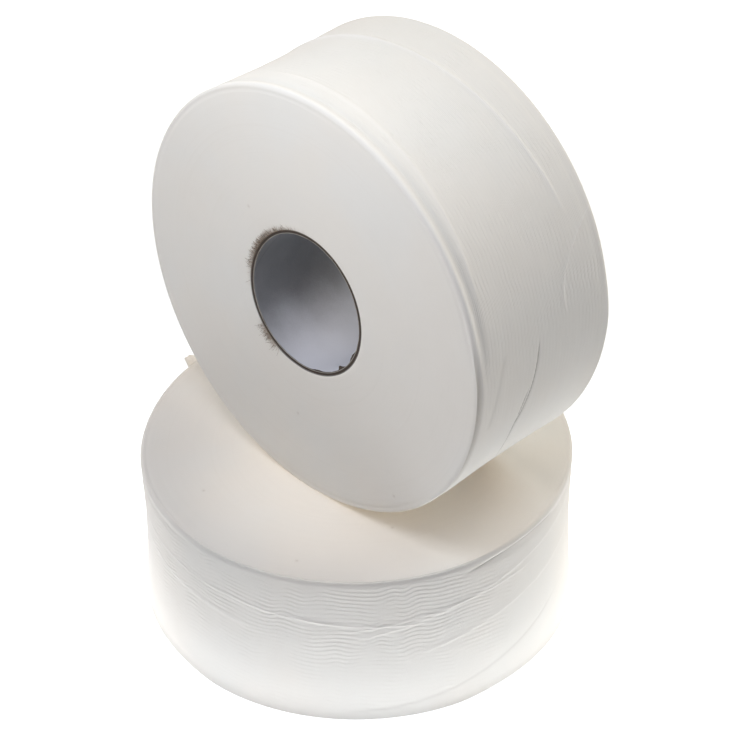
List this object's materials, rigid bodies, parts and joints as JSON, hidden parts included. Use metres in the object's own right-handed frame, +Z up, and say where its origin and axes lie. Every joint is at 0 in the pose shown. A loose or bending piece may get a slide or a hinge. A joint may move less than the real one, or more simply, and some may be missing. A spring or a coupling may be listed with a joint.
{
  "type": "toilet tissue roll stack",
  "caption": "Large toilet tissue rolls on board cores: one lies flat, and the other stands on its rim on top of it, with its end face and open core showing.",
  "frame": {"origin": "on the lower roll's axis, at the table that it lies on", "axes": "+Z up along the lower roll's axis; +Y along the upper roll's level axis, from its shown end to its hidden end; +X completes the right-handed frame"},
  "size_m": [0.2419, 0.2278, 0.3203],
  "materials": {
    "tissue": "matte",
    "board": "matte"
  },
  "bodies": {
    "root": {"lower_roll_paper": "tissue", "lower_roll_core": "board", "upper_roll_paper": "tissue", "upper_roll_core": "board"}
  },
  "joints": []
}
